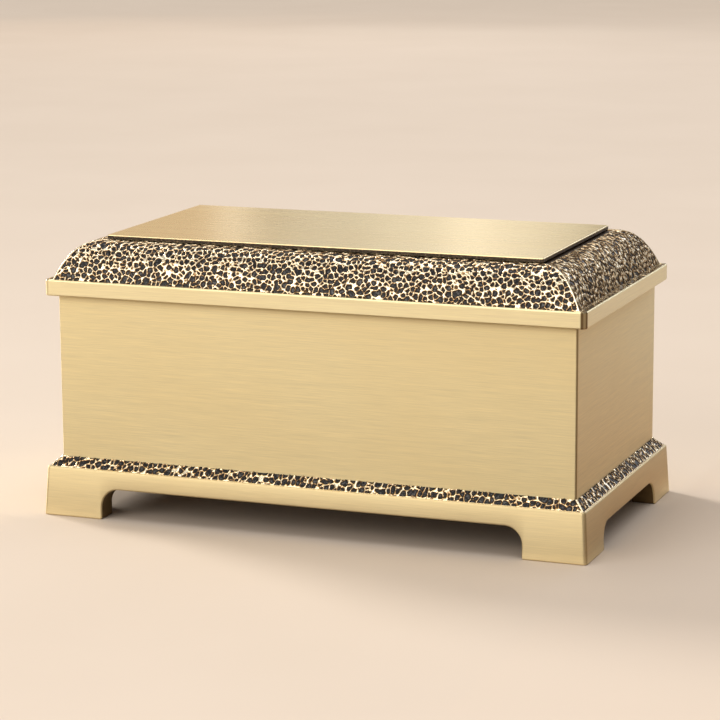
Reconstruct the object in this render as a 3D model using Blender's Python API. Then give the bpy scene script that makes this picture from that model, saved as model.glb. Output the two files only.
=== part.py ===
"""A brass cremation urn: a rectangular casket on bracket feet, under a moulded lid.

The urn stands at the origin with its length along X, its front towards -Y and +Z up. Sizes are in
metres. The body sets the length and depth, and the base and the lid take theirs from it.
"""

import math
from collections import namedtuple

import bmesh
import bpy
from mathutils import Vector

Level = namedtuple("Level", "half height radius")

# Air between two pieces where one rests on the other
SEAT_GAP = 0.0003

# The box: its walls and floor, and the radius of its upright corners outside and inside
BODY_LENGTH = 0.2694
BODY_DEPTH = 0.1378
BODY_HEIGHT = 0.0830
BODY_WALL = 0.0028
BODY_FLOOR = 0.0030
BODY_CORNER_RADIUS = 0.0010
BODY_INNER_RADIUS = 0.0010

# The plinth: how far its feet stand out past the body, and how far its sides lean in on their way
# up to its edge, where the pitted band starts that rises to the body
FOOT_SPREAD = 0.0076
BASE_BATTER = 0.0015
BASE_EDGE_HEIGHT = 0.0250
BASE_WALL = 0.0120
BASE_DECK = 0.0030
BASE_CORNER_RADIUS = 0.0018
BASE_EDGE_RADIUS = 0.0008
FOOT_EDGE_RADIUS = 0.0006
BAND_RISE = 0.0048
BODY_RECESS = 0.0015

# The arched gaps that part the plinth into four bracket feet
FRONT_FOOT_WIDTH = 0.0322
END_FOOT_WIDTH = 0.0300
FRONT_ARCH_HEIGHT = 0.0156
END_ARCH_HEIGHT = 0.0127
ARCH_RADIUS = 0.0090

# The lid: a flat rim, a level ledge behind its edge, the moulding, and the lip inside the body
RIM_OVERHANG = 0.0053
RIM_HEIGHT = 0.0081
RIM_CORNER_RADIUS = 0.0023
RIM_EDGE_RADIUS = 0.0004
END_LEDGE = 0.0038
FRONT_LEDGE = 0.0024
MOULDING_HEIGHT = 0.0189
MOULDING_POWER = 2.7
LID_CROWN = 0.0035
LIP_DEPTH = 0.0060
LIP_WALL = 0.0022
LIP_CLEARANCE = 0.0004

# The flat plate on top of the moulding
PLATE_LENGTH = 0.2270
PLATE_DEPTH = 0.1110
PLATE_THICKNESS = 0.0019
PLATE_CORNER_RADIUS = 0.0006
PLATE_EDGE_RADIUS = 0.0002

# How finely the curves are faceted, how far a cutter runs past what it cuts, and the angle in
# radians up to which two facets shade as one surface
CORNER_STEPS = 6
EDGE_STEPS = 3
ARCH_STEPS = 10
MOULDING_STEPS = 12
PAST_FACE = 0.0040
SMOOTH_ANGLE = 0.6

# Heights from the floor up, each piece on the one below it
DECK_TOP = BASE_EDGE_HEIGHT + BAND_RISE - BODY_RECESS
BODY_BOTTOM = DECK_TOP + SEAT_GAP
BODY_TOP = BODY_BOTTOM + BODY_HEIGHT
RIM_BOTTOM = BODY_TOP + SEAT_GAP
RIM_TOP = RIM_BOTTOM + RIM_HEIGHT
MOULDING_TOP = RIM_TOP + MOULDING_HEIGHT
PLATE_BOTTOM = MOULDING_TOP + SEAT_GAP

# Half lengths and depths in plan
BASE_HALF = Vector((BODY_LENGTH / 2 + FOOT_SPREAD, BODY_DEPTH / 2 + FOOT_SPREAD))
BODY_HALF = Vector((BODY_LENGTH / 2, BODY_DEPTH / 2))
RIM_HALF = Vector((BODY_LENGTH / 2 + RIM_OVERHANG, BODY_DEPTH / 2 + RIM_OVERHANG))
PLATE_HALF = Vector((PLATE_LENGTH / 2, PLATE_DEPTH / 2))


def empty_the_scene():
    for thing in list(bpy.data.objects):
        bpy.data.objects.remove(thing)


def new_collection(name):
    collection = bpy.data.collections.new(name)
    bpy.context.scene.collection.children.link(collection)
    return collection


def brass(name, colour, roughness):
    """A metal finish with its own colour and roughness."""
    material = bpy.data.materials.new(name)
    material.use_nodes = True
    shader = material.node_tree.nodes["Principled BSDF"]
    shader.inputs["Base Color"].default_value = (*colour, 1)
    shader.inputs["Metallic"].default_value = 1
    shader.inputs["Roughness"].default_value = roughness
    return material


def inset(half, amount):
    return half - Vector((amount, amount))


def rounded_edge(half, height, corner_radius, edge_radius, side):
    """Levels up a rounded edge. Side 1 rounds the top edge at that height, and -1 the bottom one."""
    levels = []
    for step in range(EDGE_STEPS + 1):
        turn = step / EDGE_STEPS
        climb = turn if side > 0 else 1 - turn
        drawn_in = edge_radius * (1 - math.sqrt(1 - climb * climb))
        rise = height - side * edge_radius * (1 - climb)
        levels.append(Level(inset(half, drawn_in), rise, max(corner_radius - drawn_in, SEAT_GAP)))
    return levels


def refit(ring, old, new):
    """Moves a ring of corners from one level's rounded rectangle to another's."""
    for corner in ring:
        for axis in (0, 1):
            side = math.copysign(1, corner.co[axis])
            turn = 0
            if old.radius:
                turn = (corner.co[axis] - side * (old.half[axis] - old.radius)) / old.radius
            corner.co[axis] = side * (new.half[axis] - new.radius) + turn * new.radius
        corner.co.z = new.height


def block(levels):
    """A closed block whose section follows the levels upwards, each a rounded rectangle."""
    first = levels[0]
    shape = bmesh.new()
    bmesh.ops.create_cube(shape, size=2)
    bmesh.ops.scale(shape, vec=(first.half.x, first.half.y, 1), verts=shape.verts)
    if first.radius:
        upright = [edge for edge in shape.edges if edge.verts[0].co.z != edge.verts[1].co.z]
        bmesh.ops.bevel(shape, geom=upright, offset=first.radius, offset_type="OFFSET",
                        segments=CORNER_STEPS, profile=0.5, affect="EDGES")
    ring = [corner for corner in shape.verts if corner.co.z > 0]
    refit([corner for corner in shape.verts if corner.co.z < 0], first, first)
    refit(ring, first, levels[1])
    for old, new in zip(levels[1:], levels[2:]):
        cap = next(face for face in shape.faces if all(corner in ring for corner in face.verts))
        pulled = bmesh.ops.extrude_face_region(shape, geom=[cap])["geom"]
        bmesh.ops.delete(shape, geom=[cap], context="FACES_ONLY")
        ring = [part for part in pulled if isinstance(part, bmesh.types.BMVert)]
        refit(ring, old, new)
    bmesh.ops.recalc_face_normals(shape, faces=shape.faces)
    return shape


def straight_block(half, low, high, radius=0):
    return block([Level(half, low, radius), Level(half, high, radius)])


def arch(half_width, half_run, height, along):
    """A long block with rounded top edges that runs along X (0) or Y (1), to cut a pair of arches."""
    half = Vector((half_run, half_width)) if along == 0 else Vector((half_width, half_run))
    shape = straight_block(half, -PAST_FACE, height)
    across = 1 - along
    ridges = [edge for edge in shape.edges
              if min(end.co.z for end in edge.verts) > 0
              and edge.verts[0].co[across] == edge.verts[1].co[across]]
    bmesh.ops.bevel(shape, geom=ridges, offset=ARCH_RADIUS, offset_type="OFFSET",
                    segments=ARCH_STEPS, profile=0.5, affect="EDGES")
    return shape


def new_object(name, shape, collection):
    mesh = bpy.data.meshes.new(name)
    shape.to_mesh(mesh)
    shape.free()
    thing = bpy.data.objects.new(name, mesh)
    collection.objects.link(thing)
    return thing


def new_piece(name, shape, material):
    piece = new_object(name, shape, URN)
    piece.data.materials.append(material)
    piece.data.shade_smooth()
    piece.data.set_sharp_from_angle(angle=SMOOTH_ANGLE)
    return piece


def combine(piece, name, shape, operation):
    """Cuts a shape from the piece or joins one to it, and keeps that shape among the cutters."""
    tool = new_object(name, shape, CUTTERS)
    tool.hide_render = True
    tool.display_type = "WIRE"
    step = piece.modifiers.new(name, "BOOLEAN")
    step.object = tool
    step.operation = operation
    step.solver = "EXACT"


def make_base():
    """The plinth on four bracket feet: battered sides, a sloping band, and a recess for the body."""
    edge = inset(BASE_HALF, BASE_BATTER)
    recess = inset(BODY_HALF, -SEAT_GAP)
    recess_radius = BODY_CORNER_RADIUS + SEAT_GAP
    levels = rounded_edge(BASE_HALF, 0, BASE_CORNER_RADIUS, FOOT_EDGE_RADIUS, -1)
    levels += rounded_edge(edge, BASE_EDGE_HEIGHT, BASE_CORNER_RADIUS, BASE_EDGE_RADIUS, 1)
    levels.append(Level(recess, BASE_EDGE_HEIGHT + BAND_RISE, recess_radius))
    base = new_piece("base", block(levels), brass("base_brass", (0.78, 0.62, 0.33), 0.34))

    hollow = straight_block(inset(BASE_HALF, BASE_WALL), -PAST_FACE, DECK_TOP - BASE_DECK)
    combine(base, "base_hollow", hollow, "DIFFERENCE")
    seat = straight_block(recess, DECK_TOP, DECK_TOP + BODY_RECESS + PAST_FACE, recess_radius)
    combine(base, "body_recess", seat, "DIFFERENCE")
    front_arches = arch(BASE_HALF.x - FRONT_FOOT_WIDTH, BASE_HALF.y + PAST_FACE, FRONT_ARCH_HEIGHT, 1)
    combine(base, "front_arches", front_arches, "DIFFERENCE")
    end_arches = arch(BASE_HALF.y - END_FOOT_WIDTH, BASE_HALF.x + PAST_FACE, END_ARCH_HEIGHT, 0)
    combine(base, "end_arches", end_arches, "DIFFERENCE")


def make_body():
    """The plain box, open at the top, with a floor and walls of one thickness."""
    outside = straight_block(BODY_HALF, BODY_BOTTOM, BODY_TOP, BODY_CORNER_RADIUS)
    body = new_piece("body", outside, brass("body_brass", (0.80, 0.64, 0.35), 0.32))
    room = straight_block(inset(BODY_HALF, BODY_WALL), BODY_BOTTOM + BODY_FLOOR,
                          BODY_TOP + PAST_FACE, BODY_INNER_RADIUS)
    combine(body, "body_room", room, "DIFFERENCE")


def moulding(share):
    """Half size and height of the moulding, from its foot on the ledge (0) to the plate (1).

    The side rises as one minus a power of what is left to run, steep at the foot and level at the
    top, and it runs in further at the ends than at the front and back.
    """
    foot = RIM_HALF - Vector((END_LEDGE, FRONT_LEDGE))
    climb = 1 - (1 - share) ** MOULDING_POWER
    return foot.lerp(PLATE_HALF, share), RIM_TOP + MOULDING_HEIGHT * climb


def make_lid():
    """The rim, the moulding above it and the lip under it, in one hollow casting."""
    rim = rounded_edge(RIM_HALF, RIM_BOTTOM, RIM_CORNER_RADIUS, RIM_EDGE_RADIUS, -1)
    rim += rounded_edge(RIM_HALF, RIM_TOP, RIM_CORNER_RADIUS, RIM_EDGE_RADIUS, 1)
    lid = new_piece("lid", block(rim), brass("lid_brass", (0.46, 0.36, 0.20), 0.38))

    mid_rim = (RIM_BOTTOM + RIM_TOP) / 2
    sides = [moulding(step / MOULDING_STEPS) for step in range(MOULDING_STEPS + 1)]
    crown = [Level(sides[0][0], mid_rim, 0)]
    crown += [Level(half, height, 0) for half, height in sides]
    combine(lid, "moulding", block(crown), "UNION")

    lip = inset(BODY_HALF, BODY_WALL + LIP_CLEARANCE)
    lip_foot = RIM_BOTTOM - LIP_DEPTH
    combine(lid, "lip", straight_block(lip, lip_foot, mid_rim, BODY_INNER_RADIUS), "UNION")

    core = inset(lip, LIP_WALL)
    hollow = [Level(core, lip_foot - PAST_FACE, 0)]
    for half, height in sides:
        within = Vector((min(half.x, core.x), min(half.y, core.y)))
        hollow.append(Level(within, height - LID_CROWN, 0))
    combine(lid, "lid_hollow", block(hollow), "DIFFERENCE")


def make_top_plate():
    """The flat plate on the lid, with small rounded corners and top edges."""
    levels = [Level(PLATE_HALF, PLATE_BOTTOM, PLATE_CORNER_RADIUS)]
    levels += rounded_edge(PLATE_HALF, PLATE_BOTTOM + PLATE_THICKNESS, PLATE_CORNER_RADIUS,
                           PLATE_EDGE_RADIUS, 1)
    new_piece("top_plate", block(levels), brass("plate_brass", (0.84, 0.70, 0.42), 0.28))


empty_the_scene()
URN = new_collection("cremation_urn")
CUTTERS = new_collection("cutters")
make_base()
make_body()
make_lid()
make_top_plate()
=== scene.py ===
"""The looks of a brass cremation urn: brushed faces, pitted mouldings and a studio to see them in.

The urn stands at the origin with its length along X, its front towards -Y and +Z up. Sizes are in
metres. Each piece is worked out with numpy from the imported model's boxes and the values below.
"""

import math

import bpy
import numpy as np
from mathutils import Matrix, Vector


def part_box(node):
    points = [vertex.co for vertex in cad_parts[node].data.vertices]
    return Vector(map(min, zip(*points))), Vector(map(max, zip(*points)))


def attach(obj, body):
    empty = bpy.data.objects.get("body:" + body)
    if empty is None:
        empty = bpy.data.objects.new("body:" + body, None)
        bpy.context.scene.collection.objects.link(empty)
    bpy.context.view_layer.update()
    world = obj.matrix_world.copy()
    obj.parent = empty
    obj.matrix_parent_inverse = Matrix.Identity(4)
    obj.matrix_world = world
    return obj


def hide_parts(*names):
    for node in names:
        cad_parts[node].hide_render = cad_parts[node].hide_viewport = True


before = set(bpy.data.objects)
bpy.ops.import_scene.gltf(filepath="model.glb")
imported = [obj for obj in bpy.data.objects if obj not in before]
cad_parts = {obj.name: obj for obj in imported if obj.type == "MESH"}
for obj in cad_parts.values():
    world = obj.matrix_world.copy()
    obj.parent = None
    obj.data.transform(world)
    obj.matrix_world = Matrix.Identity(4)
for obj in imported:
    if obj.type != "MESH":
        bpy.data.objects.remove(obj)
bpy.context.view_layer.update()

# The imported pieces' boxes give the main half sizes and heights
BASE_LOW, BASE_HIGH = (np.array(corner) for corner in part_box("base"))
BODY_LOW, BODY_HIGH = (np.array(corner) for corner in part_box("body"))
LID_LOW, LID_HIGH = (np.array(corner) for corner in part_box("lid"))
PLATE_LOW, PLATE_HIGH = (np.array(corner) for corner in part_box("top_plate"))
SEAT_GAP = PLATE_LOW[2] - LID_HIGH[2]

# The box
BODY_WALL = 0.0028
BODY_FLOOR = 0.0030
BODY_CORNER_RADIUS = 0.0010
BODY_EDGE_RADIUS = 0.0003

# The plinth and its bracket feet
BASE_BATTER = 0.0015
BASE_EDGE_HEIGHT = 0.0250
BASE_WALL = 0.0120
BASE_DECK = 0.0030
BASE_CORNER_RADIUS = 0.0018
BASE_EDGE_RADIUS = 0.0008
FOOT_EDGE_RADIUS = 0.0007
FOOT_CORNER_RADIUS = 0.0011
FOOT_LEAN = 0.0015
ARCH_LEAN = 0.0004
BODY_RECESS = 0.0015
FRONT_FOOT_WIDTH = 0.0322
END_FOOT_WIDTH = 0.0300
FRONT_ARCH_HEIGHT = 0.0156
END_ARCH_HEIGHT = 0.0127
ARCH_RADIUS = 0.0090
INNER_CORNER_RADIUS = 0.0005

# The lid
RIM_HEIGHT = 0.0081
RIM_CORNER_RADIUS = 0.0029
RIM_EDGE_RADIUS = 0.0007
END_LEDGE = 0.0038
FRONT_LEDGE = 0.0024
MOULDING_HEIGHT = 0.0189
MOULDING_POWER = 2.7
LID_CROWN = 0.0035
LIP_DEPTH = 0.0060
LIP_WALL = 0.0022
LIP_CLEARANCE = 0.0004

# The top plate
PLATE_CORNER_RADIUS = 0.0006
PLATE_EDGE_RADIUS = 0.00050

# The lid's pitted skins: their thickness, the gap under them, how far they start from the rim's edge
# and run in under the plate, and the spacing of their mesh
SKIN = 0.0013
SKIN_GAP = 0.0001
SKIN_START = 0.0009
SKIN_TUCK = 0.0010
SKIN_STEP = 0.00032

# The base's pitted band: its thickness, the step up to it, its rows, its columns round a corner and
# the depth of its pits against the lid's
BAND_SKIN = 0.0009
BAND_STEP = 0.0001
BAND_ROWS = 22
BAND_CORNER_COLUMNS = 5
BAND_DEPTH_SHARE = 0.9

# The pits: the spacing of their centres, half the width of the ridges, their wall and their depth
PIT_SPACING = 0.0026
RIDGE_HALF_WIDTH = 0.00020
PIT_WALL = 0.00032
PIT_DEPTH = 0.00055

# The waves that warp the pattern and swell the ridges, and how softly ridges meet and pits end
WARP_SIZE = 0.00020
WARP_LENGTH = 0.0034
SWELL_SIZE = 0.00009
SWELL_LENGTH = 0.0060
RIDGE_SOFTNESS = 0.00026
PIT_SOFTNESS = 0.00010

# The small pits between them: the radius is a random share of the first number, less the second
SPECK_RADIUS = 0.00080
SPECK_CUT = 0.00022
SPECK_SPACING = 0.0021

# Where pits open wider, as shifts of their brinks: near the ledge, towards the plate (its start and
# width are shares of the section), at the ends and on the band
LEDGE_OPENING = 0.00010
LEDGE_WIDTH = 0.007
TOP_OPENING = 0.00009
TOP_START = 0.55
TOP_WIDTH = 0.35
END_OPENING = 0.00005
BAND_OPENING = 0.00008

# The pattern's scale along and across: over one squeezes it, and under one stretches it
END_SCALE = (1.30, 0.90)
BAND_SCALE = (0.96, 0.74)

# At the two ends, the dark crease at the moulding's foot and the dark groove beside the plate
CREASE_OPENING = 0.00045
CREASE_WIDTH = 0.0006
GROOVE_BRINK = 0.00009
GROOVE_WIDTH = 0.0028
GROOVE_BLEND = 0.0008

# The ridges left along the mitres and the edges of the skins
FRONT_MITRE_RIDGE = 0.00090
END_MITRE_RIDGE = 0.00055
BAND_MITRE_RIDGE = 0.00045
EDGE_RIDGE = 0.00010

# Painted dark reflection in brown on the rounded upright corners, across each arc from the long side
# to the short one, its share at each corner, and the brown painted shade in the arches and underneath
RIM_STRIPES = (0.0, 0.90, 0.90, 0.60, 0.45, 0.65, 0.95, 0.95, 0.0)
BODY_STRIPES = (0.0, 0.45, 0.60, 0.45, 0.0)
BASE_STRIPES = (0.0, 0.00, 0.10, 0.35, 0.0)
CORNER_SHARES = (1.0, 0.1, 0.1, 1.0)
UNDERSIDE_PAINTED_SHADE = 0.85

# How the curves are faceted, and the strip of flat mesh beside a rounded edge that keeps flats flat
CORNER_STEPS = 8
EDGE_STEPS = 5
ARCH_STEPS = 16
PROFILE_STEPS = 400
LEDGE_STEPS = 40
BED_ROWS = 24
CROWN_ROWS = 13
SUPPORT = 0.00015
SHARP_ANGLE = 0.6

BASE_HALF = BASE_HIGH[:2]
BODY_HALF = BODY_HIGH[:2]
RIM_HALF = LID_HIGH[:2]
PLATE_HALF = PLATE_HIGH[:2]
MOULDING_TOP = LID_HIGH[2]
RIM_TOP = MOULDING_TOP - MOULDING_HEIGHT
RIM_BOTTOM = RIM_TOP - RIM_HEIGHT
BAND_TOP = BASE_HIGH[2]
DECK_TOP = BAND_TOP - BODY_RECESS
RECESS_HALF = BODY_HALF + SEAT_GAP

# The corners' signs, and the outward normal and the direction of the side that follows each corner
CORNER_SIGNS = np.array([(1, 1), (-1, 1), (-1, -1), (1, -1)], dtype=float)
SIDE_NORMALS = np.array([(0, 1), (-1, 0), (0, -1), (1, 0)], dtype=float)
SIDE_TRAVELS = np.array([(-1, 0), (0, -1), (1, 0), (0, 1)], dtype=float)

# The shares of a quarter turn at a corner's columns, with a support column before and after the arc
CORNER_TURNS = np.concatenate(([0], np.arange(CORNER_STEPS + 1), [CORNER_STEPS])) / CORNER_STEPS


def smooth_step(value):
    """Nought below 0, one above 1, and 3v2 - 2v3 between them."""
    value = np.clip(value, 0, 1)
    return value * value * (3 - 2 * value)


# Meshes

def in_scene(name, data):
    """A new object of a mesh, light or camera, linked to the scene."""
    made = bpy.data.objects.new(name, data)
    bpy.context.scene.collection.objects.link(made)
    return made


def outward(points, quads, others, maps):
    """The faces and the quads' grain maps, turned outwards by the sign of the volume they enclose.

    Six times that volume is the sum of the triple products over the triangles of the faces' fans.
    """
    volume = 0
    for fans in [points[quads]] + [points[None, face] for face in others]:
        first = np.broadcast_to(fans[:, :1], fans[:, 2:].shape)
        volume += (np.cross(fans[:, 1:-1], fans[:, 2:]) * first).sum()
    if volume < 0:
        quads, maps = quads[:, ::-1], maps[:, ::-1]
        others = [face[::-1] for face in others]
    return quads, others, maps


def new_piece(name, points, quads, others, maps, materials, replaced, slot):
    """A piece of the urn from arrays of points, quads and other faces, with its grain map."""
    sizes = np.concatenate((np.full(len(quads), 4), [len(face) for face in others])).astype(np.int32)
    corners = np.concatenate([quads.ravel()] + list(others)).astype(np.int32)
    mesh = bpy.data.meshes.new(name)
    mesh.vertices.add(len(points))
    mesh.vertices.foreach_set("co", points.astype(np.float32).ravel())
    mesh.loops.add(len(corners))
    mesh.loops.foreach_set("vertex_index", corners)
    mesh.polygons.add(len(sizes))
    starts = np.concatenate(([0], np.cumsum(sizes)[:-1])).astype(np.int32)
    mesh.polygons.foreach_set("loop_start", starts)
    mesh.update(calc_edges=True)
    for material in materials:
        mesh.materials.append(material)
    grain = mesh.uv_layers.new(name="grain")
    spots = np.concatenate([part.reshape(-1, 2) for part in maps])
    grain.data.foreach_set("uv", spots.astype(np.float32).ravel())
    mesh.shade_smooth()
    piece = in_scene(name, mesh)
    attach(piece, "root")
    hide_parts(replaced)
    return piece


def corner_template():
    """The columns round a rounded rectangle: its corners' signs, directions and support shifts.

    Corner number c turns from c to c + 1 quarters. A support column stands before and after its arc,
    one support width back or on along the straight side.
    """
    shifts = np.zeros(len(CORNER_TURNS))
    shifts[0], shifts[-1] = -SUPPORT, SUPPORT
    angles = (np.arange(4)[:, None] + CORNER_TURNS[None, :]) * math.pi / 2
    direction = np.stack((np.cos(angles), np.sin(angles)), -1)
    along = np.stack((-np.sin(angles), np.cos(angles)), -1)
    sign = np.broadcast_to(CORNER_SIGNS[:, None, :], direction.shape)
    shift = along * shifts[None, :, None]
    return [part.reshape(-1, 2) for part in (sign, direction, shift)]


def ring_points(rings):
    """Points of a stack of rounded rectangles, each given as half x, half y, radius and height."""
    sign, direction, shift = corner_template()
    rings = np.asarray(rings, dtype=float)
    half = rings[:, None, :2]
    radius = rings[:, None, 2:3]
    plan = sign * (half - radius) + direction * radius + shift
    height = np.broadcast_to(rings[:, None, 3:4], plan.shape[:2] + (1,))
    return np.concatenate((plan, height), -1)


def loop_lengths(points, closed):
    """Distance run along each row of points, with one more entry where the loop closes."""
    following = np.roll(points, -1, axis=1) if closed else points[:, 1:]
    steps = np.linalg.norm(following - (points if closed else points[:, :-1]), axis=-1)
    start = np.zeros((len(points), 1))
    return np.concatenate((start, np.cumsum(steps, axis=1)), 1)


def grid_faces(rows, columns, round_rows=False, round_columns=True):
    """Corner numbers of a grid's quads, and the row and column of each corner before it wraps."""
    row = np.arange(rows if round_rows else rows - 1)
    column = np.arange(columns if round_columns else columns - 1)
    row, column = (part.ravel() for part in np.meshgrid(row, column, indexing="ij"))
    rows_of = np.stack((row, row, row + 1, row + 1), 1)
    columns_of = np.stack((column, column + 1, column + 1, column), 1)
    return (rows_of % rows) * columns + columns_of % columns, rows_of, columns_of


def lofted(points, level_map=None, level_rows=(0, 0)):
    """Faces and grain maps of a closed form lofted through loops of points and capped at both ends.

    points is an array of loops by columns. The map's first number runs round a loop and its second
    along the section, and on the two caps they are x and y. Between the two level rows it is the
    level map, an array of both numbers.
    """
    loops, columns = points.shape[:2]
    quads, row, column = grid_faces(loops, columns)
    around = loop_lengths(points, closed=True)
    along = loop_lengths(points.transpose(1, 0, 2), closed=False).T
    along = np.concatenate((along, along[:, :1]), 1)
    maps = np.stack((around.mean(0)[column], along.mean(1)[row]), -1)
    if level_map is not None:
        level = (row.min(1) >= level_rows[0]) & (row.max(1) <= level_rows[1])
        maps[level] = level_map[row[level], column[level]]
    flat = points.reshape(-1, 3)
    caps = [np.arange(columns)[::-1], np.arange(columns) + (loops - 1) * columns]
    quads, caps, maps = outward(flat, quads, caps, maps)
    return flat, quads, caps, [maps] + [flat[cap][:, :2] for cap in caps]


def rounded_edge(half, height, corner_radius, edge_radius, side):
    """Rings up a rounded edge. Side 1 rounds the top edge at that height, and -1 the bottom one.

    The edge is a quarter circle: drawn in by r - r cos a and risen by r sin a, and a support ring
    stands below or above it on the upright side.
    """
    angle = np.linspace(0, math.pi / 2, EDGE_STEPS + 1)
    drawn_in = edge_radius * (1 - np.cos(angle))
    rise = height - side * edge_radius * (1 - np.sin(angle))
    rings = np.stack((half[0] - drawn_in, half[1] - drawn_in, corner_radius - drawn_in, rise), 1)
    support = ring(half, corner_radius, rise[0] - side * SUPPORT)
    inner = rings[-1:] - (SUPPORT, SUPPORT, SUPPORT, 0)
    inner[:, 2] = np.maximum(inner[:, 2], SUPPORT / 2)
    rings = np.concatenate((support, rings, inner))
    return rings if side > 0 else rings[::-1]


def ring(half, radius, height):
    """One rounded rectangle, as ring_points takes it."""
    return np.array([[half[0], half[1], radius, height]])


# Materials

# Brown painted as dark reflection on the rounded corners and as shade in the arches and underneath
PAINTED_SHADE_BROWN = (0.13, 0.070, 0.022)
# Grey mottle on the pit floors, partly a painted sheen
PIT_MOTTLE_AND_SHEEN = (0.142, 0.142, 0.146)
# The tint of the broad patches on brushed brass and how close they lie along and across the grain
PATCH_TINT = (0.98, 0.93, 0.84)
PATCHES = (14, 22)
# The share of the fine grain lines against the soft ones, their relief, and how much they roughen
FINE_SHARE = 0.72
LINE_HEIGHT = 0.00004
LINE_ROUGHNESS = 0.03


def node(tree, kind, **properties):
    """A new node with its properties set."""
    made = tree.nodes.new(kind)
    for key, value in properties.items():
        setattr(made, key, value)
    return made


def feed(made, inputs):
    """Sets a node's inputs to plain numbers and colours, or links them to other nodes' outputs."""
    for name, value in inputs.items():
        socket = made.inputs[name]
        if isinstance(value, bpy.types.NodeSocket):
            made.id_data.links.new(value, socket)
        else:
            socket.default_value = (*value, 1) if socket.type == "RGBA" else value
    return made


def noise(vector, scale, detail=2.0, roughness=0.5):
    """Cloudy noise from nought to one, with that many features to a unit of the vector."""
    made = node(vector.id_data, "ShaderNodeTexNoise")
    feed(made, {"Vector": vector, "Scale": scale, "Detail": detail, "Roughness": roughness})
    return made.outputs["Fac"]


def stretched(vector, *scale):
    """A vector scaled apart along its first two axes, so that a noise on it draws out into lines."""
    made = node(vector.id_data, "ShaderNodeMapping")
    return feed(made, {"Vector": vector, "Scale": (*scale, 1)}).outputs["Vector"]


def ramp(factor, stops):
    """A colour ramp through (place, colour) stops."""
    made = feed(node(factor.id_data, "ShaderNodeValToRGB"), {"Fac": factor})
    elements = made.color_ramp.elements
    while len(elements) < len(stops):
        elements.new(0.5)
    for element, (place, colour) in zip(elements, stops):
        element.position = place
        element.color = (*colour, 1)
    return made.outputs["Color"]


def remap(value, span, new_span):
    """A value carried from one span of numbers to another, and kept within it."""
    names = ("From Min", "From Max", "To Min", "To Max")
    made = node(value.id_data, "ShaderNodeMapRange")
    feed(made, {"Value": value, **dict(zip(names, (*span, *new_span)))})
    return made.outputs["Result"]


def arithmetic(operation, first, second):
    """A sum or a product of an output and a number or another output."""
    made = node(first.id_data, "ShaderNodeMath", operation=operation)
    return feed(made, {0: first, 1: second}).outputs["Value"]


def mix_colours(factor, first, second):
    """The first colour going over to the second, each a plain colour or an output."""
    made = node(factor.id_data, "ShaderNodeMix", data_type="RGBA")
    places = [number for number, socket in enumerate(made.inputs) if socket.type == "RGBA"]
    feed(made, {"Factor": factor, places[0]: first, places[1]: second})
    return next(socket for socket in made.outputs if socket.type == "RGBA")


def bump(height, strength, distance):
    """A normal tilted by fine relief of that height in metres."""
    made = node(height.id_data, "ShaderNodeBump")
    feed(made, {"Height": height, "Strength": strength, "Distance": distance})
    return made.outputs["Normal"]


def new_material(name):
    """A new material, its node tree and its shader."""
    material = bpy.data.materials.new(name)
    material.use_nodes = True
    tree = material.node_tree
    return material, tree, tree.nodes["Principled BSDF"]


def brushed_brass(name, colour, roughness, anisotropy, fine_lines=(55, 2200), soft_lines=(12, 520),
                  line_relief=0.25, line_tones=(0.89, 1.09)):
    """Brushed brass, with grain lines along the first axis of the piece's own grain map.

    Fine lines and longer soft streaks change the tone, the roughness and the relief a little, and
    broad patches the tint. The point attribute read here, from nought to one, mixes in painted brown:
    dark reflection on the corners, shade in the arches and underneath.
    """
    material, tree, shader = new_material(name)
    grain = node(tree, "ShaderNodeUVMap", uv_map="grain").outputs["UV"]
    fine = noise(stretched(grain, *fine_lines), 1, detail=3, roughness=0.6)
    soft = noise(stretched(grain, *soft_lines), 1)
    broad = noise(stretched(grain, *PATCHES), 1)
    lines = arithmetic("ADD", arithmetic("MULTIPLY", fine, FINE_SHARE),
                       arithmetic("MULTIPLY", soft, 1 - FINE_SHARE))
    dark = tuple(part * line_tones[0] for part in colour)
    pale = tuple(min(part * line_tones[1], 1) for part in colour)
    toned = ramp(lines, ((0.30, dark), (0.70, pale)))
    warm = tuple(part * tint for part, tint in zip(colour, PATCH_TINT))
    mottled = mix_colours(remap(broad, (0.35, 0.75), (0, 0.35)), toned, warm)
    # Painted brown: dark reflection on the corners, shade in the arches and underneath
    painted_shade = node(tree, "ShaderNodeAttribute", attribute_name="painted_shade").outputs["Fac"]
    tangent = node(tree, "ShaderNodeTangent", direction_type="UV_MAP", uv_map="grain")
    roughnesses = (roughness - LINE_ROUGHNESS, roughness + LINE_ROUGHNESS)
    feed(shader, {
        "Base Color": mix_colours(painted_shade, mottled, PAINTED_SHADE_BROWN),
        "Metallic": 1,
        "Anisotropic": anisotropy,
        "Anisotropic Rotation": 0.25,
        "Roughness": remap(lines, (0.3, 0.7), roughnesses),
        "Tangent": tangent.outputs["Tangent"],
        "Normal": bump(lines, line_relief, LINE_HEIGHT),
    })
    return material


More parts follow.
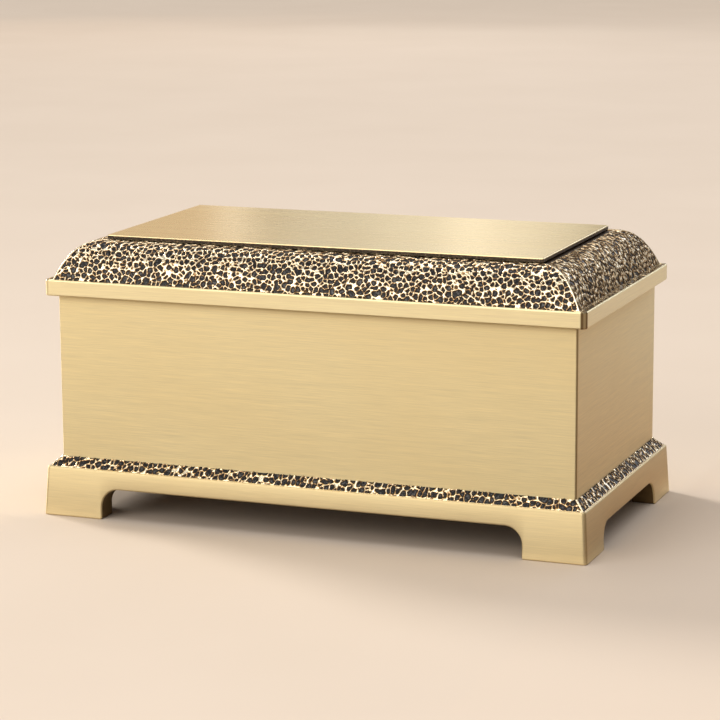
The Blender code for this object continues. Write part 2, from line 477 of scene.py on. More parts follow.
def pitted_brass(name):
    """Antiqued brass: polished ridges, a brown brink, and black pits with grey mottle and painted
    sheen on their floors.

    It reads the relief attribute: millimetres from a pit's brink, above nought in the pits.
    """
    material, tree, shader = new_material(name)
    relief = node(tree, "ShaderNodeAttribute", attribute_name="relief").outputs["Fac"]
    place = node(tree, "ShaderNodeTexCoord").outputs["Object"]
    ragged = noise(place, 2600, detail=3, roughness=0.6)
    cloudy = noise(place, 1000, detail=3, roughness=0.6)
    depth = arithmetic("ADD", relief, remap(ragged, (0, 1), (-0.10, 0.10)))
    share = remap(depth, (-0.35, 0.45), (0, 1))
    colour = ramp(share, (
        (0.00, (0.97, 0.87, 0.66)),
        (0.32, (0.95, 0.80, 0.54)),
        (0.44, (0.48, 0.27, 0.11)),
        (0.56, (0.025, 0.018, 0.013)),
        (1.00, (0.010, 0.010, 0.011)),
    ))
    # Grey on the pit floors: a cloudy mottle, partly a painted sheen
    mottle_and_sheen = arithmetic("MULTIPLY", remap(cloudy, (0.48, 0.66), (0, 1)),
                      remap(depth, (0.22, 0.62), (0, 0.85)))
    feed(shader, {
        "Base Color": mix_colours(mottle_and_sheen, colour, PIT_MOTTLE_AND_SHEEN),
        "Metallic": remap(share, (0.4, 0.7), (1.0, 0.22)),
        "Specular IOR Level": 0.24,
        "Roughness": remap(share, (0.3, 0.7), (0.20, 0.33)),
        "Normal": bump(ragged, 0.35, 0.00010),
    })
    return material


def painted_edge_reflection(name):
    """Dark brown mottled colour for the plate's edge faces: painted reflection of the dark pitted
    moulding, and painted shade.
    """
    material, tree, shader = new_material(name)
    place = node(tree, "ShaderNodeTexCoord").outputs["Object"]
    cloudy = noise(place, 900, detail=4, roughness=0.65)
    colour = ramp(cloudy, (
        (0.34, (0.030, 0.026, 0.024)),
        (0.54, (0.080, 0.060, 0.044)),
        (0.68, (0.30, 0.21, 0.13)),
    ))
    feed(shader, {
        "Base Color": colour,
        "Metallic": 0.75,
        "Roughness": remap(cloudy, (0.3, 0.7), (0.50, 0.34)),
        "Normal": bump(cloudy, 0.3, 0.0001),
    })
    return material


# The pits

def waves(along, across, seed, length):
    """A smooth field, mostly between -1 and 1: eight sines of about that length, in all directions."""
    chance = np.random.default_rng(seed)
    total = np.zeros(np.shape(along))
    for _ in range(8):
        angle, phase = chance.uniform(0, 2 * math.pi, 2)
        stretch = chance.uniform(0.7, 1.5)
        travel = along * math.cos(angle) + across * math.sin(angle)
        total += np.sin(travel * 2 * math.pi * stretch / length + phase)
    return total / 3


def scattered(along, across, spacing, seed, reach):
    """The jittered grid of centres near each point: their distances, their cells and random numbers.

    Odd rows are shifted by half a spacing, and a centre lies anywhere in its cell but the margin. The
    arrays' first axis runs over the near cells, those up to reach rows and columns away.
    """
    chance = np.random.default_rng(seed)
    size = 512
    margin = 0.04
    table = chance.uniform(0, 1, (size, size, 5))
    row = np.floor(across / spacing).astype(int)
    column = np.floor(along / spacing - 0.5 * (row % 2)).astype(int)
    steps = np.arange(-reach, reach + 1)
    row_step, column_step = (part.ravel() for part in np.meshgrid(steps, steps))
    near_row = row[None] + row_step.reshape(-1, *[1] * row.ndim)
    near_column = column[None] + column_step.reshape(-1, *[1] * row.ndim)
    numbers = table[near_row % size, near_column % size]
    jitter = margin + (1 - 2 * margin) * numbers[..., :2]
    middle_along = (near_column + 0.5 * (near_row % 2) + jitter[..., 0]) * spacing
    middle_across = (near_row + jitter[..., 1]) * spacing
    distance = np.hypot(along - middle_along, across - middle_across)
    return distance, near_row, near_column, numbers


def pit_brinks(along, across, seed):
    """Distance in metres from the nearest pit's brink, above nought inside a pit.

    The pits are round blobs. A ridge lies where the distances to two weighted centres are equal, and
    a soft minimum of the others' distances thickens the ridges where they meet. Some neighbours are
    joined into one longer pit, the ridges swell and thin in waves, and small pits are scattered over
    it all.
    """
    warped_along = along + waves(along, across, seed + 1, WARP_LENGTH) * WARP_SIZE
    warped_across = across + waves(along, across, seed + 2, WARP_LENGTH) * WARP_SIZE
    far, row, column, numbers = scattered(warped_along, warped_across, PIT_SPACING, seed, 2)
    _, _, weight, joined, width = np.moveaxis(numbers, -1, 0)
    weighted = far - PIT_SPACING * (0.42 * weight - 0.21)
    group = (row - (joined > 0.84)) * 4096 + column - (joined < 0.16)
    nearest = weighted.argmin(0)[None]
    own = np.take_along_axis(weighted, nearest, 0)
    same = group == np.take_along_axis(group, nearest, 0)
    others = np.where(same, 0, np.exp(-(weighted - own) / RIDGE_SOFTNESS)).sum(0)
    ridge = -RIDGE_SOFTNESS * np.log(others + 1e-30) / 2 - RIDGE_HALF_WIDTH
    blob = np.where(same, PIT_SPACING * (0.48 + 0.32 * width) - far, -1).max(0)
    brink = -PIT_SOFTNESS * np.logaddexp(-ridge / PIT_SOFTNESS, -blob / PIT_SOFTNESS)
    brink += waves(along, across, seed + 3, SWELL_LENGTH) * SWELL_SIZE
    far, _, _, numbers = scattered(along, across, SPECK_SPACING, seed + 4, 1)
    speck = (SPECK_RADIUS * numbers[..., 2] - SPECK_CUT - far).max(0)
    return np.maximum(brink, speck)


def pit_drop(brink):
    """How far the surface drops below the ridges, at a distance from a pit's brink."""
    return PIT_DEPTH * smooth_step((brink + PIT_WALL / 2) / PIT_WALL)


def mark_relief(piece, brink):
    """Keeps each point's distance from a pit's brink, in millimetres, for the finish to read.

    The outside's points come first in the mesh, and the rest count as plain metal.
    """
    values = np.full(len(piece.data.vertices), -RIDGE_HALF_WIDTH)
    values[:brink.size] = brink.ravel()
    relief = piece.data.attributes.new("relief", "FLOAT", "POINT")
    relief.data.foreach_set("value", (values * 1000).astype(np.float32))


# Pieces

def mark_painted_shade(piece, loops, stripes, corner_columns=None, hidden_from=None):
    """Paints brown dark reflection on the rounded upright corners, more at the right end than at the
    left.

    stripes gives the amount at even places across an arc, and corner_columns says which columns lie
    on an arc. The loops from hidden_from on, inside the arches and underneath, take brown painted
    shade all over.
    """
    if corner_columns is None:
        corner_columns = np.ones(4 * len(CORNER_TURNS))
    amount = np.interp(CORNER_TURNS, np.linspace(0, 1, len(stripes)), stripes)
    amount[0] = amount[-1] = 0
    arcs = [share * (amount if corner % 2 else amount[::-1])
            for corner, share in enumerate(CORNER_SHARES)]
    row = np.zeros(len(corner_columns))
    row[corner_columns > 0] = np.concatenate(arcs)
    # Painted dark reflection on the corner arcs, and painted shade inside the arches and underneath
    painted_shade = piece.data.attributes.new("painted_shade", "FLOAT", "POINT")
    values = np.tile(row, (loops, 1))
    if hidden_from is not None:
        values[hidden_from:] = UNDERSIDE_PAINTED_SHADE
    painted_shade.data.foreach_set("value", values.ravel().astype(np.float32))


def moulding(share):
    """Half sizes and height of the moulding, from its foot on the ledge (0) to the plate (1).

    The side rises as one minus a power of what is left to run, steep at the foot and level at the
    top, and it runs in further at the ends than at the front and back.
    """
    share = np.asarray(share, dtype=float)
    foot = RIM_HALF - (END_LEDGE, FRONT_LEDGE)
    half = foot + (PLATE_HALF - foot) * share[..., None]
    return half, RIM_TOP + MOULDING_HEIGHT * (1 - (1 - share) ** MOULDING_POWER)


def lid_profile(count):
    """The lid's section from the rim's edge to under the plate, evenly spaced along its length.

    It gives half sizes, heights, how far each point is drawn in for the skin's inner side, and the
    length run at the front.
    """
    share = np.linspace(0, 1, PROFILE_STEPS)
    half, height = moulding(share)
    start = RIM_HALF - SKIN_START
    end = PLATE_HALF - SKIN_TUCK
    ledge = np.linspace(0, 1, LEDGE_STEPS)[:-1, None]
    half = np.concatenate((start + (half[0] - start) * ledge, half, [end]))
    height = np.concatenate((np.full(len(ledge), RIM_TOP), height, [MOULDING_TOP]))
    drawn = np.concatenate((ledge[:, 0], 1 - smooth_step(share * 2 - 1), [0]))
    steps = np.hypot(np.diff(half[:, 1]), np.diff(height))
    run = np.concatenate(([0], np.cumsum(steps)))
    places = np.linspace(0, run[-1], count)
    half = np.stack([np.interp(places, run, half[:, axis]) for axis in (0, 1)], 1)
    return half, np.interp(places, run, height), np.interp(places, run, drawn), places


def make_lid_casting(material):
    """The rim, the lip and the hollow crown under the skins, as one stack of rounded rectangles."""
    half, height, drawn, _ = lid_profile(BED_ROWS)
    under_half = half - SKIN * drawn[:, None]
    bed = np.concatenate((under_half, np.full((BED_ROWS, 1), SUPPORT), height[:, None] - SKIN), 1)
    bed = bed[::-1]
    plateau = PLATE_HALF - SKIN_TUCK - SKIN_GAP
    bed[0, :2] = plateau
    bed[-1, :2] = RIM_HALF - SKIN_START
    lip = BODY_HALF - BODY_WALL - LIP_CLEARANCE
    core = lip - LIP_WALL
    lip_foot = RIM_BOTTOM - LIP_DEPTH
    inner_half, inner_height = moulding(np.linspace(0, 1, CROWN_ROWS))
    inner = np.concatenate((np.minimum(inner_half, core), np.full((CROWN_ROWS, 1), SUPPORT),
                            inner_height[:, None] - LID_CROWN), 1)
    rings = np.concatenate((
        ring(plateau, SUPPORT, MOULDING_TOP),
        bed,
        ring(RIM_HALF - SKIN_START, SUPPORT, RIM_TOP),
        rounded_edge(RIM_HALF, RIM_TOP, RIM_CORNER_RADIUS, RIM_EDGE_RADIUS, 1)[::-1],
        rounded_edge(RIM_HALF, RIM_BOTTOM, RIM_CORNER_RADIUS, RIM_EDGE_RADIUS, -1)[::-1],
        ring(lip, SUPPORT, RIM_BOTTOM),
        ring(lip, SUPPORT, lip_foot),
        ring(core, SUPPORT, lip_foot),
        inner,
    ))
    piece = new_piece("lid_casting", *lofted(ring_points(rings)), [material], "lid", "lid_brass")
    mark_painted_shade(piece, len(rings), RIM_STRIPES)
    piece.data.set_sharp_from_angle(angle=SHARP_ANGLE)


def make_lid_skin(name, side, seed, material):
    """One side of the pitted moulding, a closed shell that lies on the casting.

    side is the side's outward direction. The outer side is a grid of the place along the side by the
    length up the section, dropped along the section's inward normal into each pit. The inner side has
    few rows, and n-sided faces at the mitres join it to the many rows outside.
    """
    length_axis = 0 if side[0] == 0 else 1
    face_axis = 1 - length_axis
    facing = side[face_axis]
    on_end = length_axis == 1
    _, _, _, places = lid_profile(2)
    spacing = 12
    rows = int(round(places[-1] / SKIN_STEP / spacing)) * spacing + 1
    half, height, drawn, _ = lid_profile(rows)
    columns = int(round(2 * half[0, length_axis] / SKIN_STEP)) + 1
    run = np.hypot(np.gradient(half[:, face_axis]), np.gradient(height))
    inward = np.stack((np.gradient(height), -np.gradient(half[:, face_axis])), 1)
    inward = -inward / np.linalg.norm(inward, axis=1)[:, None]
    up = np.concatenate(([0], np.cumsum((run[1:] + run[:-1]) / 2)))

    share = np.linspace(-1, 1, columns)
    along = half[:, length_axis, None] * share
    across = np.broadcast_to(up[:, None], along.shape)
    scale = END_SCALE if on_end else (1.0, 1.0)
    brink = pit_brinks(along * scale[0], across * scale[1], seed)
    brink = brink + LEDGE_OPENING * (1 - smooth_step(across / LEDGE_WIDTH))
    brink = brink + TOP_OPENING * smooth_step((across / up[-1] - TOP_START) / TOP_WIDTH)
    if on_end:
        crease = np.exp(-((across - END_LEDGE + SKIN_START + CREASE_WIDTH / 2) / CREASE_WIDTH) ** 2)
        groove = smooth_step((across - up[-1] + SKIN_TUCK + GROOVE_WIDTH) / GROOVE_BLEND)
        creased = brink + END_OPENING + CREASE_OPENING * crease
        brink = creased * (1 - groove) + GROOVE_BRINK * groove
    to_mitre = half[:, length_axis, None] * (1 - np.abs(share))
    to_edge = np.minimum(across + EDGE_RIDGE / 2, up[-1] - across)
    mitre_ridge = END_MITRE_RIDGE if on_end else FRONT_MITRE_RIDGE
    brink = np.minimum(brink, np.minimum(to_mitre - mitre_ridge, to_edge - EDGE_RIDGE))
    drop = pit_drop(brink)

    def placed(along, out, rise):
        point = np.empty(along.shape + (3,))
        point[..., length_axis] = along
        point[..., face_axis] = facing * out
        point[..., 2] = rise
        return point

    outside = placed(along, half[:, face_axis, None] + inward[:, :1] * drop,
                     height[:, None] + inward[:, 1:] * drop)
    thick = SKIN - SKIN_GAP
    below = half - thick * drawn[:, None]
    inside = placed(below[:, length_axis, None] * share, below[:, face_axis, None],
                    height[:, None] - thick)

    keep = np.zeros((rows, columns), dtype=bool)
    keep[::spacing] = True
    keep[:, (0, -1)] = True
    number = np.full((rows, columns), -1)
    number[keep] = np.arange(keep.sum()) + rows * columns
    points = np.concatenate((outside.reshape(-1, 3), inside[keep]))

    quads, _, _ = grid_faces(rows, columns, round_columns=False)
    top = np.arange(rows * columns).reshape(rows, columns)
    walls = []
    for outer, inner in ((top[0], number[0]), (top[-1][::-1], number[-1][::-1]),
                         (top[:, -1], number[:, -1]), (top[::-1, 0], number[::-1, 0])):
        walls.append(np.stack((outer[1:], outer[:-1], inner[:-1], inner[1:]), 1))
    coarse = number[::spacing]
    floor = np.stack((coarse[1:, 1:-2], coarse[1:, 2:-1], coarse[:-1, 2:-1], coarse[:-1, 1:-2]), -1)
    ends = []
    for low in range(0, rows - 1, spacing):
        high = low + spacing
        ends.append(np.concatenate((number[low:high + 1, 0], number[[high, low], 1])))
        ends.append(np.concatenate((number[low:high + 1, -1][::-1], number[[low, high], -2])))
    quads = np.concatenate((quads, *walls, floor.reshape(-1, 4)))
    spread = np.stack((along, across), -1)
    spread = np.concatenate((spread.reshape(-1, 2), spread[keep]))
    quads, ends, maps = outward(points, quads, ends, spread[quads])
    maps = [maps] + [spread[face] for face in ends]
    piece = new_piece(name, points, quads, ends, maps, [material], "lid", "lid_brass")
    mark_relief(piece, brink)


def make_body(material):
    """The plain box: its outside up, over the rim, and down the walls to the floor inside."""
    low, high = BODY_LOW[2], BODY_HIGH[2]
    room = BODY_HALF - BODY_WALL
    rings = np.concatenate((
        rounded_edge(BODY_HALF, low, BODY_CORNER_RADIUS, BODY_EDGE_RADIUS, -1),
        rounded_edge(BODY_HALF, high, BODY_CORNER_RADIUS, BODY_EDGE_RADIUS, 1),
        ring(room, BODY_CORNER_RADIUS, high),
        ring(room, BODY_CORNER_RADIUS, low + BODY_FLOOR),
    ))
    piece = new_piece("body_box", *lofted(ring_points(rings)), [material], "body", "body_brass")
    mark_painted_shade(piece, len(rings), BODY_STRIPES)
    piece.data.set_sharp_from_angle(angle=SHARP_ANGLE)


def make_plate(top_material, edge_material):
    """The flat top plate, with painted dark reflection and shade on its edge faces under a bright top
    edge.
    """
    low, high = PLATE_LOW[2], PLATE_HIGH[2]
    rings = np.concatenate((
        ring(PLATE_HALF, PLATE_CORNER_RADIUS, low),
        rounded_edge(PLATE_HALF, high, PLATE_CORNER_RADIUS, PLATE_EDGE_RADIUS, 1),
    ))
    points = ring_points(rings)
    piece = new_piece("top_plate_sheet", *lofted(points), [top_material, edge_material],
                      "top_plate", "plate_brass")
    columns = points.shape[1]
    on_edge = np.zeros(len(piece.data.polygons), dtype=np.int32)
    on_edge[:2 * columns] = 1
    on_edge[-2] = 1
    piece.data.polygons.foreach_set("material_index", on_edge)
    piece.data.set_sharp_from_angle(angle=SHARP_ANGLE)


def mirrored(toe, arc, side):
    """The values along a side's lower outline, from its foot's toe and arc and their mirror image."""
    half = np.concatenate((toe, arc))
    return np.concatenate((side * half, half[::-1]))


def base_columns():
    """The columns round the base, each from the floor or an arch's edge to the top of the face.

    Each column has the side's normal and direction, its place along the side or its corner's sign
    and turn, the height of its foot, the outward normal of the lower outline in the face, and how
    far its top leans back towards the corner.
    """
    sign, direction, shift = corner_template()
    count = len(sign) // 4
    sides = []
    for corner in range(4):
        take = slice(corner * count, (corner + 1) * count)
        blank = np.zeros(count)
        sides.append(dict(
            sign=sign[take], direction=direction[take], shift=shift[take], corner=np.ones(count),
            place=blank, foot=blank, out_along=blank, out_up=blank - 1, lean=blank,
            side=np.full(count, corner), turned=np.linspace(0, 1, count),
        ))
        normal, travel = SIDE_NORMALS[corner], SIDE_TRAVELS[corner]
        long_side = normal[0] == 0
        jamb = BASE_HALF[0] - FRONT_FOOT_WIDTH if long_side else BASE_HALF[1] - END_FOOT_WIDTH
        arch_height = FRONT_ARCH_HEIGHT if long_side else END_ARCH_HEIGHT
        turn = np.linspace(-math.pi / 2, 0, EDGE_STEPS + 1)
        sweep = np.linspace(math.pi, math.pi / 2, ARCH_STEPS + 1)
        rows = 2 * (len(turn) + len(sweep))
        sides.append(dict(
            sign=np.tile(normal, (rows, 1)), direction=np.tile(travel, (rows, 1)),
            shift=np.zeros((rows, 2)), corner=np.zeros(rows),
            place=mirrored(jamb + FOOT_CORNER_RADIUS * (1 - np.cos(turn)),
                           jamb - ARCH_RADIUS * (1 + np.cos(sweep)), -1),
            foot=mirrored(FOOT_CORNER_RADIUS * (1 + np.sin(turn)),
                          arch_height - ARCH_RADIUS * (1 - np.sin(sweep)), 1),
            out_along=mirrored(-np.cos(turn), np.cos(sweep), -1),
            out_up=mirrored(np.sin(turn), -np.sin(sweep), 1),
            lean=mirrored(np.full(len(turn), FOOT_LEAN), ARCH_LEAN * (1 - np.sin(sweep)), -1),
            side=np.full(rows, corner), turned=np.ones(rows),
        ))
    return {key: np.concatenate([side[key] for side in sides]) for key in sides[0]}


def base_loop(columns, drawn_in, radius, height, place):
    """A loop round the base, drawn in from the floor's outline by drawn_in at each column."""
    sign, direction = columns["sign"], columns["direction"]
    plain = columns["corner"][:, None] == 0
    drawn = np.broadcast_to(drawn_in, place.shape)[:, None]
    rise = np.broadcast_to(height, place.shape)[:, None]
    at_corner = sign * (BASE_HALF - drawn - radius) + direction * radius + columns["shift"]
    reach = np.abs(sign) @ BASE_HALF
    at_side = sign * (reach[:, None] - drawn) + direction * place[:, None]
    return np.concatenate((np.where(plain, at_side, at_corner), rise), 1)


def level_grain(points, columns):
    """A grain map for the plinth's faces: the level distance round the four sides, and the height.

    On a side the distance is measured along it from its middle, and on a corner's arc it goes over
    from the side before to the side after.
    """
    side, turned = columns["side"], columns["turned"][:, None].T
    half = BASE_HALF[[0, 1, 0, 1]]
    middle = np.cumsum(half + half[[3, 0, 1, 2]])
    after = middle[side] + (points[..., :2] * SIDE_TRAVELS[side]).sum(-1)
    before = (points[..., :2] * SIDE_TRAVELS[side - 1]).sum(-1)
    before = middle[side] - half[side] - half[side - 1] + before
    level = before * (1 - turned) + after * turned
    level = np.concatenate((level, level[:, :1] + 2 * half.sum()), 1)
    height = np.concatenate((points[..., 2], points[:, :1, 2]), 1)
    return np.stack((level, height), -1)


def make_base_casting(material):
    """The plinth on bracket feet, one section carried round its lower outline.

    The section goes from the recess for the body out under the pitted band, down the battered face,
    round the lower edge, in along the soffit and up the hollow underneath.
    """
    columns = base_columns()
    place, foot = columns["place"], columns["foot"]
    leant = place + columns["lean"]

    def on_face(height):
        return BASE_BATTER * height / BASE_EDGE_HEIGHT

    recess = BASE_HALF[0] - RECESS_HALF[0]
    edge = BASE_BATTER + BASE_EDGE_RADIUS + SUPPORT
    edge_corner = BASE_CORNER_RADIUS - BASE_EDGE_RADIUS
    upper = [
        (recess, BODY_CORNER_RADIUS, DECK_TOP),
        (recess, BODY_CORNER_RADIUS, BAND_TOP - BAND_SKIN),
        (edge, edge_corner, BASE_EDGE_HEIGHT - BAND_SKIN),
        (edge, edge_corner, BASE_EDGE_HEIGHT),
    ]
    for angle in np.linspace(math.pi / 2, 0, EDGE_STEPS + 1):
        drawn = BASE_EDGE_RADIUS * (1 - math.cos(angle))
        height = BASE_EDGE_HEIGHT - BASE_EDGE_RADIUS * (1 - math.sin(angle))
        upper.append((BASE_BATTER + drawn, BASE_CORNER_RADIUS - drawn, height))
    face_top = len(upper) - 1
    height = BASE_EDGE_HEIGHT - BASE_EDGE_RADIUS - SUPPORT
    upper.append((on_face(height), BASE_CORNER_RADIUS, height))
    loops = [base_loop(columns, *section, leant) for section in upper]

    reach = FOOT_EDGE_RADIUS + SUPPORT
    rounding = [(reach, 0.0)]
    for angle in np.linspace(0, math.pi / 2, EDGE_STEPS + 1):
        rounding.append((FOOT_EDGE_RADIUS * (1 - math.sin(angle)),
                         FOOT_EDGE_RADIUS * (1 - math.cos(angle))))
    rounding.append((0.0, reach))
    for offset, depth in rounding:
        height = foot - offset * columns["out_up"]
        spot = place - offset * columns["out_along"]
        loops.append(base_loop(columns, on_face(height) + depth, BASE_CORNER_RADIUS - depth,
                               height, spot))
    face_foot = len(loops) - 3
    loops.append(base_loop(columns, BASE_WALL, INNER_CORNER_RADIUS, foot, place))
    loops.append(base_loop(columns, BASE_WALL, INNER_CORNER_RADIUS, DECK_TOP - BASE_DECK, leant))
    loops = np.array(loops)
    formed = lofted(loops, level_grain(loops, columns), (face_top, face_foot))
    piece = new_piece("base_casting", *formed, [material], "base", "base_brass")
    mark_painted_shade(piece, len(loops), BASE_STRIPES, columns["corner"], face_foot + 2)
    piece.data.set_sharp_from_angle(angle=SHARP_ANGLE)


def band_plan():
    """Columns round the pitted band: corner columns and evenly spaced ones along the sides.

    It gives each column's corner sign, direction and share of the side, how much of a quarter turn
    lies between it and the middle of its arc, and the number of its side.
    """
    turns = np.linspace(0, 1, BAND_CORNER_COLUMNS)
    parts = []
    for corner in range(4):
        angle = (corner + turns) * math.pi / 2
        arc = np.stack((np.cos(angle), np.sin(angle)), 1)
        normal = SIDE_NORMALS[corner]
        count = int(2 * BASE_HALF[0 if normal[0] == 0 else 1] / SKIN_STEP)
        places = np.arange(1, count) / count
        side = np.tile(normal, (len(places), 1))
        spans = ((arc, turns * 0, np.abs(turns - 0.5)), (side, places, places * 0 + 0.5))
        for direction, share, turned_by in spans:
            sign = np.tile(CORNER_SIGNS[corner], (len(share), 1))
            parts.append((sign, direction, share, turned_by, np.full(len(share), corner)))
    return [np.concatenate(values) for values in zip(*parts)]


def make_base_band(material, seed):
    """The sloping pitted band round the foot of the body, one closed ring.

    Its outside is a grid of the way round by the climb, dropped into each pit along the slope's
    inward normal, but never past the body's recess.
    """
    sign, direction, share, turned_by, side = band_plan()
    columns = len(share)
    travel = np.stack((-direction[:, 1], direction[:, 0]), 1)
    low_half = BASE_HALF - BASE_BATTER - BASE_EDGE_RADIUS - SUPPORT
    low_corner = BASE_CORNER_RADIUS - BASE_EDGE_RADIUS
    low_height = BASE_EDGE_HEIGHT + BAND_STEP
    climb = np.linspace(0, 1, BAND_ROWS)[:, None, None]
    half = low_half + (RECESS_HALF - low_half) * climb
    radius = low_corner + (BODY_CORNER_RADIUS + SEAT_GAP - low_corner) * climb
    height = low_height + (BAND_TOP - low_height) * climb[..., 0]
    slope = np.array((RECESS_HALF[0] - low_half[0], BAND_TOP - BASE_EDGE_HEIGHT))
    length = np.linalg.norm(slope)

    def plan(half, radius):
        start = sign * (half - radius) + direction * radius
        span = 2 * np.abs(travel) * (half - radius)
        return start + travel * span.sum(-1, keepdims=True) * share[:, None]

    outside = plan(half, radius)
    around = loop_lengths(outside[:1], closed=True)[0]
    across = np.broadcast_to(climb[:, :, 0] * length, (BAND_ROWS, columns))
    on_side = [around[:-1][(side == number) & (share > 0)] for number in range(4)]
    middle = np.array([places.mean() for places in on_side])
    along = middle[side] + (outside * travel).sum(-1)
    side_half = np.abs(travel) @ low_half
    from_corner = np.where(share == 0, 0, side_half * (1 - np.abs(2 * share - 1)))
    from_mitre = from_corner + turned_by * math.pi / 2 * BODY_CORNER_RADIUS
    brink = pit_brinks(along * BAND_SCALE[0], across * BAND_SCALE[1], seed) + BAND_OPENING
    brink = np.minimum(brink, np.minimum(from_mitre - BAND_MITRE_RIDGE, across - EDGE_RIDGE))
    drop = pit_drop(brink) * BAND_DEPTH_SHARE
    inward = -np.abs((slope[1], slope[0])) / length
    sunk_half = np.maximum(half + (drop * inward[0])[..., None], RECESS_HALF)
    outside = plan(sunk_half, radius)
    outside = np.concatenate((outside, (height + drop * inward[1])[..., None]), -1)
    thick = BAND_SKIN - SKIN_GAP
    inside = plan(np.stack((RECESS_HALF, low_half))[:, None], radius[[-1, 0]])
    inside_height = np.array((BAND_TOP - thick, BASE_EDGE_HEIGHT - thick)).repeat(columns)
    inside = np.concatenate((inside, inside_height.reshape(2, columns, 1)), -1)
    quads, row, column = grid_faces(BAND_ROWS + 2, columns, round_rows=True)
    flat = np.concatenate((outside, inside)).reshape(-1, 3)
    section = np.concatenate((climb[:, 0, 0] * length, [length + thick, 2 * length, 3 * length]))
    quads, _, maps = outward(flat, quads, [], np.stack((around[column], section[row]), -1))
    piece = new_piece("base_band", flat, quads, [], [maps], [material], "base", "base_brass")
    mark_relief(piece, brink)


# The studio

WARM_LIGHT = (1.0, 0.94, 0.86)
PLAIN_LIGHT = (1.0, 0.99, 0.98)
LIT_POINT = Vector((0, 0, 0.07))

# Each soft light's name, place, size, brightness and colour. The plate mirrors those at the back
PANELS = (
    ("front_panel", (-1.14, -2.2, 1.15), (2.4, 1.5), 2.72, WARM_LIGHT),
    ("top_panel", (-0.2, -0.2, 1.9), (1.6, 1.0), 1.7, PLAIN_LIGHT),
    ("back_panel_warm", (-1.625, 2.8, 0.95), (0.57, 1.4), 0.50, (1.0, 0.66, 0.36)),
    ("back_strip_left", (-1.304, 2.8, 0.95), (0.05, 1.4), 1.2, PLAIN_LIGHT),
    ("back_panel_wide", (-0.952, 2.8, 0.95), (0.495, 1.4), 0.50, PLAIN_LIGHT),
    ("back_panel_middle", (-0.912, 2.8, 0.95), (0.29, 1.4), 0.24, PLAIN_LIGHT),
    ("back_strip_right", (-0.90, 2.8, 0.95), (0.07, 1.4), 0.55, WARM_LIGHT),
    ("back_panel_cool", (0.65, 2.9, 1.25), (1.0, 0.8), 2.5, (0.80, 0.86, 1.0)),
)
# The sun's place, its spread in degrees, its strength and its colour
SUN = ((-3.9, 1.6, 1.75), 16, 2.7, WARM_LIGHT)

# Each card's name, its two corners on the floor and its colour
CARDS = (
    ("shade_front", (-0.30, -0.42), (0.20, -0.085), (0.12, 0.06, 0.02)),
    ("shade_right", (0.150, -0.30), (0.45, 0.33), (0.38, 0.22, 0.12)),
    ("shade_far_right", (0.12, 0.36), (0.62, 0.95), (0.56, 0.51, 0.49)),
)
CARD_HEIGHT = 0.0004
FLOOR_REACH = 6.0


def level_sheet(name, low, high, height, material):
    """A level rectangle between two corners, facing up."""
    mesh = bpy.data.meshes.new(name)
    corners = (low, (high[0], low[1]), high, (low[0], high[1]))
    mesh.from_pydata([(x, y, height) for x, y in corners], [], [(0, 1, 2, 3)])
    mesh.materials.append(material)
    return in_scene(name, mesh)


def make_floor():
    """A wide pale floor, very slightly cloudy."""
    material, tree, shader = new_material("pale_floor")
    place = node(tree, "ShaderNodeTexCoord").outputs["Object"]
    cloudy = noise(place, 6, detail=3)
    colour = ramp(cloudy, ((0.3, (0.705, 0.605, 0.510)), (0.7, (0.725, 0.625, 0.530))))
    feed(shader, {"Base Color": colour, "Roughness": 0.8})
    floor = level_sheet("floor", (-FLOOR_REACH,) * 2, (FLOOR_REACH,) * 2, 0, material)


def make_card(name, low, high, colour):
    """A card on the floor, between two corners, that only the urn's reflections see.

    It stands in for the shade that the urn's own foot throws on the floor round it.
    """
    material, _, shader = new_material(name + "_card")
    feed(shader, {"Base Color": colour, "Roughness": 0.9})
    card = level_sheet(name, low, high, CARD_HEIGHT, material)
    card.visible_camera = False
    card.visible_shadow = False
    card.visible_diffuse = False


def soft_light(name, place, size, brightness, colour):
    """A rectangular soft light turned to the urn and hidden from the camera.

    Its power is pi times its area times the brightness that its face shows in a mirror.
    """
    lamp = bpy.data.lights.new(name, "AREA")
    lamp.shape = "RECTANGLE"
    lamp.size, lamp.size_y = size
    lamp.energy = math.pi * size[0] * size[1] * brightness
    lamp.color = colour
    light = in_scene(name, lamp)
    light.location = place
    light.rotation_euler = (LIT_POINT - Vector(place)).to_track_quat("-Z", "Y").to_euler()
    light.visible_camera = False


def soft_sun(source, spread, strength, colour):
    """Even light from the direction of a point, its edge softened over an angle in degrees."""
    lamp = bpy.data.lights.new("sun", "SUN")
    lamp.angle = math.radians(spread)
    lamp.energy = strength
    lamp.color = colour
    light = in_scene("sun", lamp)
    light.location = source
    light.rotation_euler = (-Vector(source)).to_track_quat("-Z", "Y").to_euler()


def make_world():
    """A warm grey room, paler part way round to the right of the urn and brighter overhead."""
    world = bpy.data.worlds.new("studio")
    bpy.context.scene.world = world
    world.use_nodes = True
    tree = world.node_tree
    sight = node(tree, "ShaderNodeTexCoord").outputs["Generated"]
    parts = feed(node(tree, "ShaderNodeSeparateXYZ"), {"Vector": sight}).outputs
    colour = ramp(remap(parts["X"], (-1, 1), (0, 1)), (
        (0.00, (0.27, 0.252, 0.234)),
        (0.50, (0.27, 0.255, 0.24)),
        (0.67, (0.50, 0.48, 0.46)),
        (0.84, (0.25, 0.23, 0.21)),
        (1.00, (0.25, 0.225, 0.20)),
    ))
    strength = remap(parts["Z"], (0.55, 0.95), (1.0, 2.7))
    feed(tree.nodes["Background"], {"Color": colour, "Strength": strength})


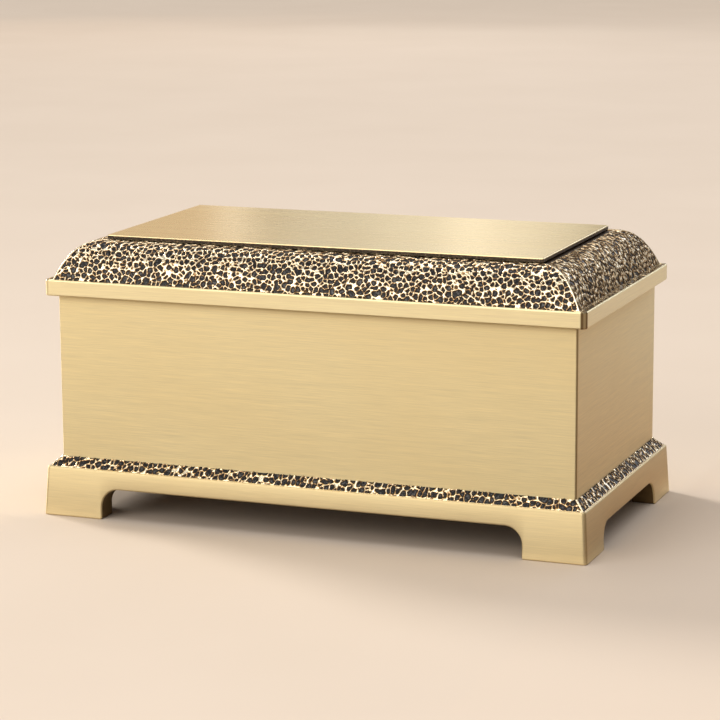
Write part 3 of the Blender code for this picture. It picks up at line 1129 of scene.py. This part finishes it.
def make_lights():
    """The soft lights, the sun and the cards."""
    for panel in PANELS:
        soft_light(*panel)
    soft_sun(*SUN)
    for card in CARDS:
        make_card(*card)


def make_camera():
    """The camera at the photograph's angle: turned by yaw, tipped down by pitch and rolled a little.

    The angles are in radians, and the lens and its sensor in millimetres.
    """
    yaw, pitch, roll = 0.368, -0.199, -0.006
    place = (0.48548, -1.26010, 0.34672)
    reach = math.cos(pitch)
    sight = Vector((-math.sin(yaw) * reach, math.cos(yaw) * reach, math.sin(pitch)))
    level = Vector((math.cos(yaw), math.sin(yaw), 0))
    upright = level.cross(sight)
    right = math.cos(roll) * level + math.sin(roll) * upright
    up = math.cos(roll) * upright - math.sin(roll) * level
    lens = bpy.data.cameras.new("camera")
    lens.sensor_width = 36
    lens.lens = 135.847
    camera = in_scene("camera", lens)
    turned = Matrix((right, up, -sight)).transposed().to_4x4()
    camera.matrix_world = Matrix.Translation(place) @ turned
    bpy.context.scene.camera = camera


bpy.context.scene.view_settings.view_transform = "Standard"
make_camera()
make_floor()
make_world()
make_lights()

body_brass = brushed_brass("body_brass_brushed", (0.89, 0.758, 0.448), 0.48, 0.8)
rim_brass = brushed_brass("rim_brass_brushed", (0.94, 0.815, 0.505), 0.40, 0.75)
base_brass = brushed_brass("base_brass_brushed", (0.765, 0.632, 0.366), 0.45, 0.7)
plate_brass = brushed_brass(
    "plate_brass_brushed", (0.92, 0.76, 0.44), 0.28, 0.8, fine_lines=(7, 800), soft_lines=(3, 180),
    line_relief=0.10, line_tones=(0.94, 1.05))
pitted = pitted_brass("pitted_brass_antiqued")
# The plate's edge faces: painted dark reflection and shade
dark_edge = painted_edge_reflection("plate_edge_painted_reflection")

make_base_casting(base_brass)
make_base_band(pitted, 31)
make_body(body_brass)
make_lid_casting(rim_brass)
make_lid_skin("lid_moulding_front", (0, -1), 11, pitted)
make_lid_skin("lid_moulding_back", (0, 1), 13, pitted)
make_lid_skin("lid_moulding_right", (1, 0), 17, pitted)
make_lid_skin("lid_moulding_left", (-1, 0), 19, pitted)
make_plate(plate_brass, dark_edge)
